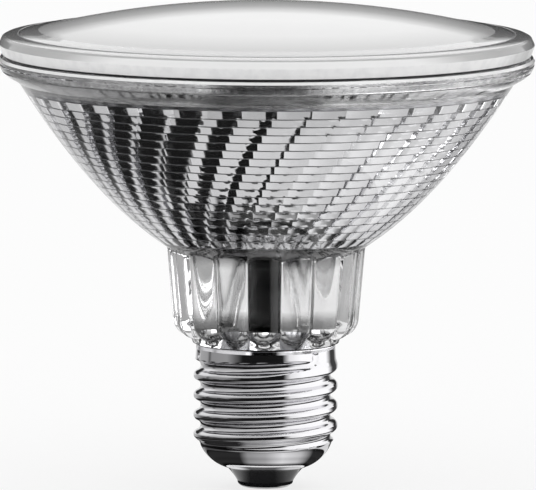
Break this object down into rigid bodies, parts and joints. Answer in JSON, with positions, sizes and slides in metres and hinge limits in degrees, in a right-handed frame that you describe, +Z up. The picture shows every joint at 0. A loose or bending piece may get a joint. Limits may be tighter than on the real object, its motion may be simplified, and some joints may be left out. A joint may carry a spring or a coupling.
{
  "type": "reflector spotlight bulb",
  "caption": "Pressed glass reflector spotlight bulb with a satin domed lens, a faceted mirror bowl seen through clear glass, a lobed glass neck and a round-thread screw cap.",
  "frame": {"origin": "middle of the centre contact's flat face, the lowest point of the bulb", "axes": "+Z up along the bulb's axis, from the contact to the lens; -Y is the side that the picture shows"},
  "size_m": [0.097, 0.097, 0.088],
  "materials": {
    "lens_glass": "satin",
    "reflector_glass": "clear, with a mirror coat inside",
    "mirror_coat": "vapour-coated aluminium",
    "seal": "matt",
    "cap_metal": "nickel plated",
    "black_glass": "gloss black glass",
    "contact_metal": "tinned",
    "quartz": "clear",
    "tungsten": "bright wire",
    "lead_metal": "bright",
    "wire_metal": "bare copper"
  },
  "bodies": {
    "root": {"front_lens": "lens_glass", "reflector": "reflector_glass", "rim_seal": "seal", "screw_shell": "cap_metal", "cap_insulator": "black_glass", "centre_contact": "contact_metal", "contact_solder": "contact_metal", "capsule_bulb": "quartz", "filament": "tungsten", "filament_lead_short": "tungsten", "filament_lead_long": "tungsten", "foil_left": "lead_metal", "foil_right": "lead_metal", "pin_left": "lead_metal", "pin_right": "lead_metal", "ferrule_left": "lead_metal", "ferrule_right": "lead_metal", "contact_wire": "wire_metal", "shell_wire": "wire_metal"}
  },
  "joints": []
}
